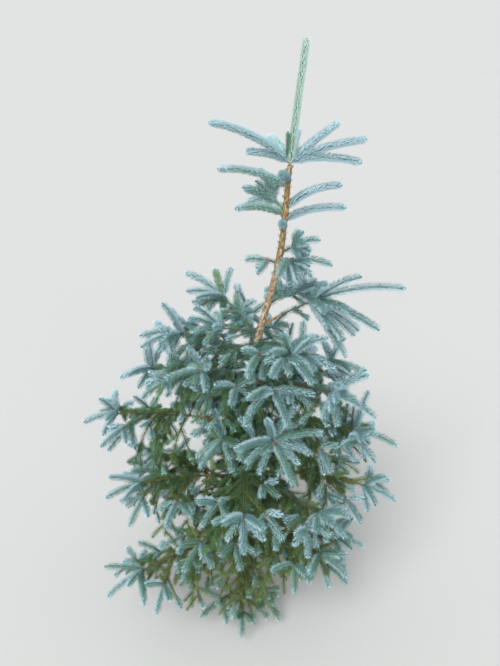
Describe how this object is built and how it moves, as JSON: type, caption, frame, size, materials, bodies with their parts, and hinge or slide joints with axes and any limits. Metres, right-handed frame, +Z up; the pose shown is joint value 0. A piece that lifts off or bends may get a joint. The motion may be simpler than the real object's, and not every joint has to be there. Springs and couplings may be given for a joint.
{
  "type": "black hills spruce tree",
  "caption": "Young black hills spruce with a gently leaning trunk, tapering boughs and stars of blue-grey needled shoots, rooted in level ground.",
  "frame": {"origin": "middle of the flat cut under the trunk, at ground level", "axes": "+Z up along the trunk, -Y towards the side the picture shows, +X to the right of that side"},
  "size_m": [0.8457, 0.7684, 1.5546],
  "materials": {
    "trunk_bark": "rough grey-tan young bark, orange-brown towards the tip",
    "bough_bark": "matt orange-brown twig bark",
    "needles": "waxy blue-grey needles, dark green on older twigs"
  },
  "bodies": {
    "root": {"trunk": "trunk_bark", "bough_left_back": "bough_bark", "bough_left_wide": "bough_bark", "bough_left_low": "bough_bark", "bough_left_skirt": "bough_bark", "bough_front_mid": "bough_bark", "bough_front_low": "bough_bark", "bough_right_high": "bough_bark", "bough_right_front": "bough_bark", "bough_right_back_high": "bough_bark", "bough_right_wide": "bough_bark", "bough_right_mid": "bough_bark", "bough_right_front_low": "bough_bark", "bough_right_skirt": "bough_bark", "bough_back_left_high": "bough_bark", "bough_back_mid": "bough_bark", "bough_back_right": "bough_bark", "bough_back_left": "bough_bark", "bough_back_low": "bough_bark", "foliage_leader_and_top_whorl": "needles", "foliage_trunk_shoot_1": "needles", "foliage_trunk_shoot_2": "needles", "foliage_trunk_shoot_3": "needles", "foliage_trunk_shoot_4": "needles", "foliage_trunk_shoot_5": "needles", "foliage_trunk_shoot_6": "needles", "foliage_left_back": "needles", "foliage_left_wide": "needles", "foliage_left_low": "needles", "foliage_left_skirt": "needles", "foliage_front_mid": "needles", "foliage_front_low": "needles", "foliage_right_high": "needles", "foliage_right_front": "needles", "foliage_right_back_high": "needles", "foliage_right_wide": "needles", "foliage_right_mid": "needles", "foliage_right_front_low": "needles", "foliage_right_skirt": "needles", "foliage_back_left_high": "needles", "foliage_back_mid": "needles", "foliage_back_right": "needles", "foliage_back_left": "needles", "foliage_back_low": "needles", "foliage_whorl_left": "needles", "foliage_neck": "needles", "foliage_neck_right": "needles", "foliage_neck_left": "needles", "foliage_left_top": "needles", "foliage_left_high": "needles", "foliage_left_inner": "needles", "foliage_left_front": "needles", "foliage_front_top": "needles", "foliage_front_high": "needles", "foliage_front_skirt": "needles", "foliage_right_top": "needles", "foliage_back_top": "needles", "foliage_back_right_high": "needles", "foliage_right_back_skirt": "needles", "foliage_left_front_skirt": "needles"}
  },
  "joints": []
}
